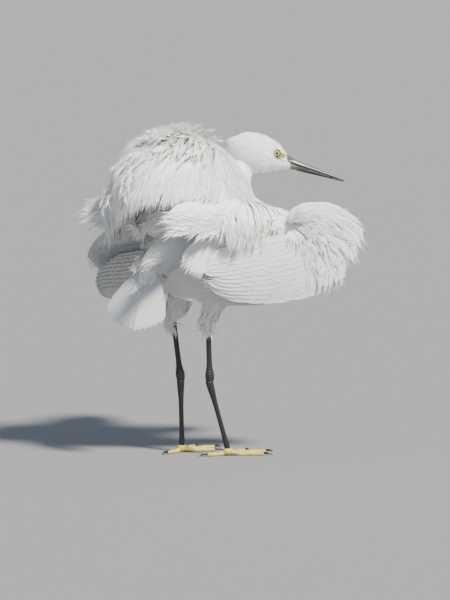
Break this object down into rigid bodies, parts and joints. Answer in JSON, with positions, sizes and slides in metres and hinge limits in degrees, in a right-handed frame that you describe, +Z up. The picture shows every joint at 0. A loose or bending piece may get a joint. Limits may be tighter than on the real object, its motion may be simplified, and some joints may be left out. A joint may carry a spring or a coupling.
{
  "type": "little egret, still life-size bird model",
  "caption": "White wading bird standing with its wings half open, neck folded back and plumage ruffled, a still display model.",
  "frame": {"origin": "on the floor, at the middle of the bird's bounding box", "axes": "+X ahead of the breast, +Y to the bird's left, +Z up"},
  "size_m": [0.3014, 0.314, 0.4194],
  "materials": {
    "plumage": "matte white feathers",
    "horn": "satin black horn",
    "leg": "black scaled skin",
    "toe": "yellow scaled skin",
    "eye": "glossy, pale yellow with a black pupil"
  },
  "bodies": {
    "root": {"head": "plumage", "bill_upper": "horn", "bill_lower": "horn", "eye_left": "eye", "eye_right": "eye", "wing_right": "plumage", "wing_left": "plumage", "tail": "plumage", "torso": "plumage", "mantle": "plumage", "neck_lower": "plumage", "neck_middle": "plumage", "neck_upper": "plumage", "upper_arm_right": "plumage", "upper_arm_left": "plumage", "thigh_right": "plumage", "shank_right": "leg", "tarsus_right": "leg", "foot_right": "toe", "claw_right_middle": "horn", "claw_right_inner": "horn", "claw_right_outer": "horn", "claw_right_hind": "horn", "thigh_left": "plumage", "shank_left": "leg", "tarsus_left": "leg", "foot_left": "toe", "claw_left_middle": "horn", "claw_left_inner": "horn", "claw_left_outer": "horn", "claw_left_hind": "horn"}
  },
  "joints": []
}
